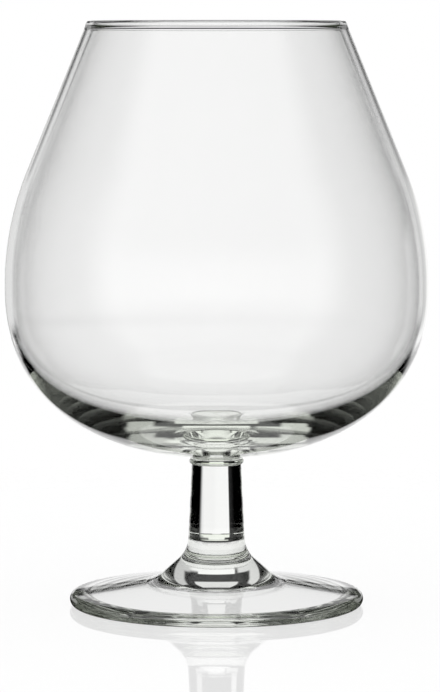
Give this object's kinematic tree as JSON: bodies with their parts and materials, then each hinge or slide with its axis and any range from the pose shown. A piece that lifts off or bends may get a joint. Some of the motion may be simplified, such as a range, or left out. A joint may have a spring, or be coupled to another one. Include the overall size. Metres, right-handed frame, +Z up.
{
  "type": "brandy snifter",
  "caption": "Balloon-shaped stemmed drinking glass: a wide thin bowl narrowing to a round rim, on a short solid stem and a domed round foot.",
  "frame": {"origin": "centre of the flat ring that the foot stands on, on the table's surface", "axes": "+Z up along the glass's axis of revolution, from the foot to the rim; X and Y are any two level directions, and the picture looks along +Y"},
  "size_m": [0.1084, 0.1084, 0.15],
  "materials": {
    "bowl_glass": "clear blown soda-lime glass, fire-polished",
    "stem_glass": "clear pressed soda-lime glass, fire-polished"
  },
  "bodies": {
    "root": {"bowl": "bowl_glass", "weld_bead": "stem_glass", "stem": "stem_glass", "foot": "stem_glass"}
  },
  "joints": []
}
